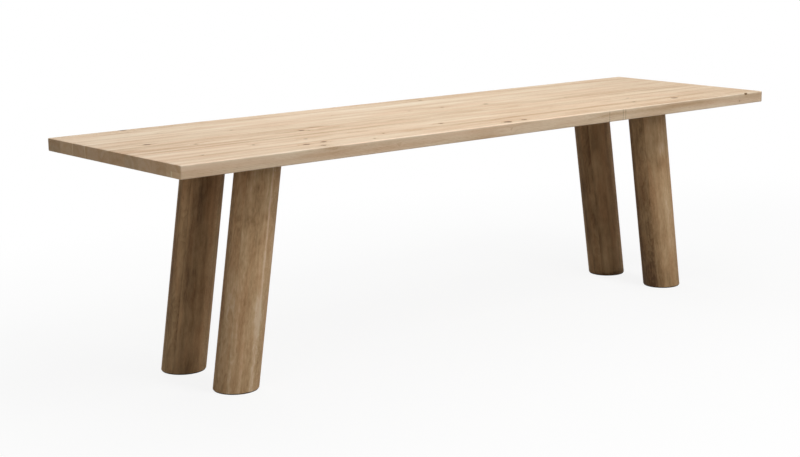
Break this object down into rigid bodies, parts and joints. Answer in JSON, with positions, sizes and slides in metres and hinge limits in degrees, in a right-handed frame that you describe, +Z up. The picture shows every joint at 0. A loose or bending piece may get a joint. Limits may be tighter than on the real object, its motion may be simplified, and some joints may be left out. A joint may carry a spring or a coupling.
{
  "type": "bar table",
  "caption": "Long oak bar table: a plank top with a thickened edge on four thick round legs that lean outwards along the length.",
  "frame": {"origin": "on the floor under the middle of the top", "axes": "+X along the table's length, +Y towards its back long edge, +Z up"},
  "size_m": [3.2, 0.91, 0.92],
  "materials": {
    "oak_top": "matt oiled, pale natural oak",
    "oak_edge": "matt oiled, natural oak",
    "oak_leg": "matt oiled, turned oak, darker than the top",
    "steel_black": "fine matt black powder coat",
    "zinc": "zinc-plated",
    "brass": "turned",
    "felt": "pressed felt"
  },
  "bodies": {
    "root": {"top_stave_01": "oak_top", "top_stave_02": "oak_top", "top_stave_03": "oak_top", "top_stave_04": "oak_top", "top_stave_05": "oak_top", "top_stave_06": "oak_top", "top_stave_07": "oak_top", "top_stave_08": "oak_top", "top_stave_09": "oak_top", "top_stave_10": "oak_top", "edge_strip_back": "oak_edge", "edge_strip_front": "oak_edge", "edge_strip_left": "oak_edge", "edge_strip_right": "oak_edge", "leg_pad_left": "oak_edge", "leg_pad_right": "oak_edge", "cross_bar_left": "steel_black", "cross_bar_middle": "steel_black", "cross_bar_right": "steel_black", "bar_screws_left": "zinc", "bar_screws_middle": "zinc", "bar_screws_right": "zinc", "leg_back_left_lamella_1": "oak_leg", "leg_back_left_lamella_2": "oak_leg", "leg_back_left_lamella_3": "oak_leg", "leg_back_left_lamella_4": "oak_leg", "leg_back_right_lamella_1": "oak_leg", "leg_back_right_lamella_2": "oak_leg", "leg_back_right_lamella_3": "oak_leg", "leg_back_right_lamella_4": "oak_leg", "leg_front_left_lamella_1": "oak_leg", "leg_front_left_lamella_2": "oak_leg", "leg_front_left_lamella_3": "oak_leg", "leg_front_left_lamella_4": "oak_leg", "leg_front_right_lamella_1": "oak_leg", "leg_front_right_lamella_2": "oak_leg", "leg_front_right_lamella_3": "oak_leg", "leg_front_right_lamella_4": "oak_leg", "leg_plate_back_left": "steel_black", "leg_plate_back_right": "steel_black", "leg_plate_front_left": "steel_black", "leg_plate_front_right": "steel_black", "leg_screws_back_left": "zinc", "leg_screws_back_right": "zinc", "leg_screws_front_left": "zinc", "leg_screws_front_right": "zinc", "plate_bolts_back_left": "steel_black", "plate_bolts_back_right": "steel_black", "plate_bolts_front_left": "steel_black", "plate_bolts_front_right": "steel_black", "plate_inserts_back_left": "brass", "plate_inserts_back_right": "brass", "plate_inserts_front_left": "brass", "plate_inserts_front_right": "brass", "glide_back_left": "felt", "glide_back_right": "felt", "glide_front_left": "felt", "glide_front_right": "felt"}
  },
  "joints": []
}
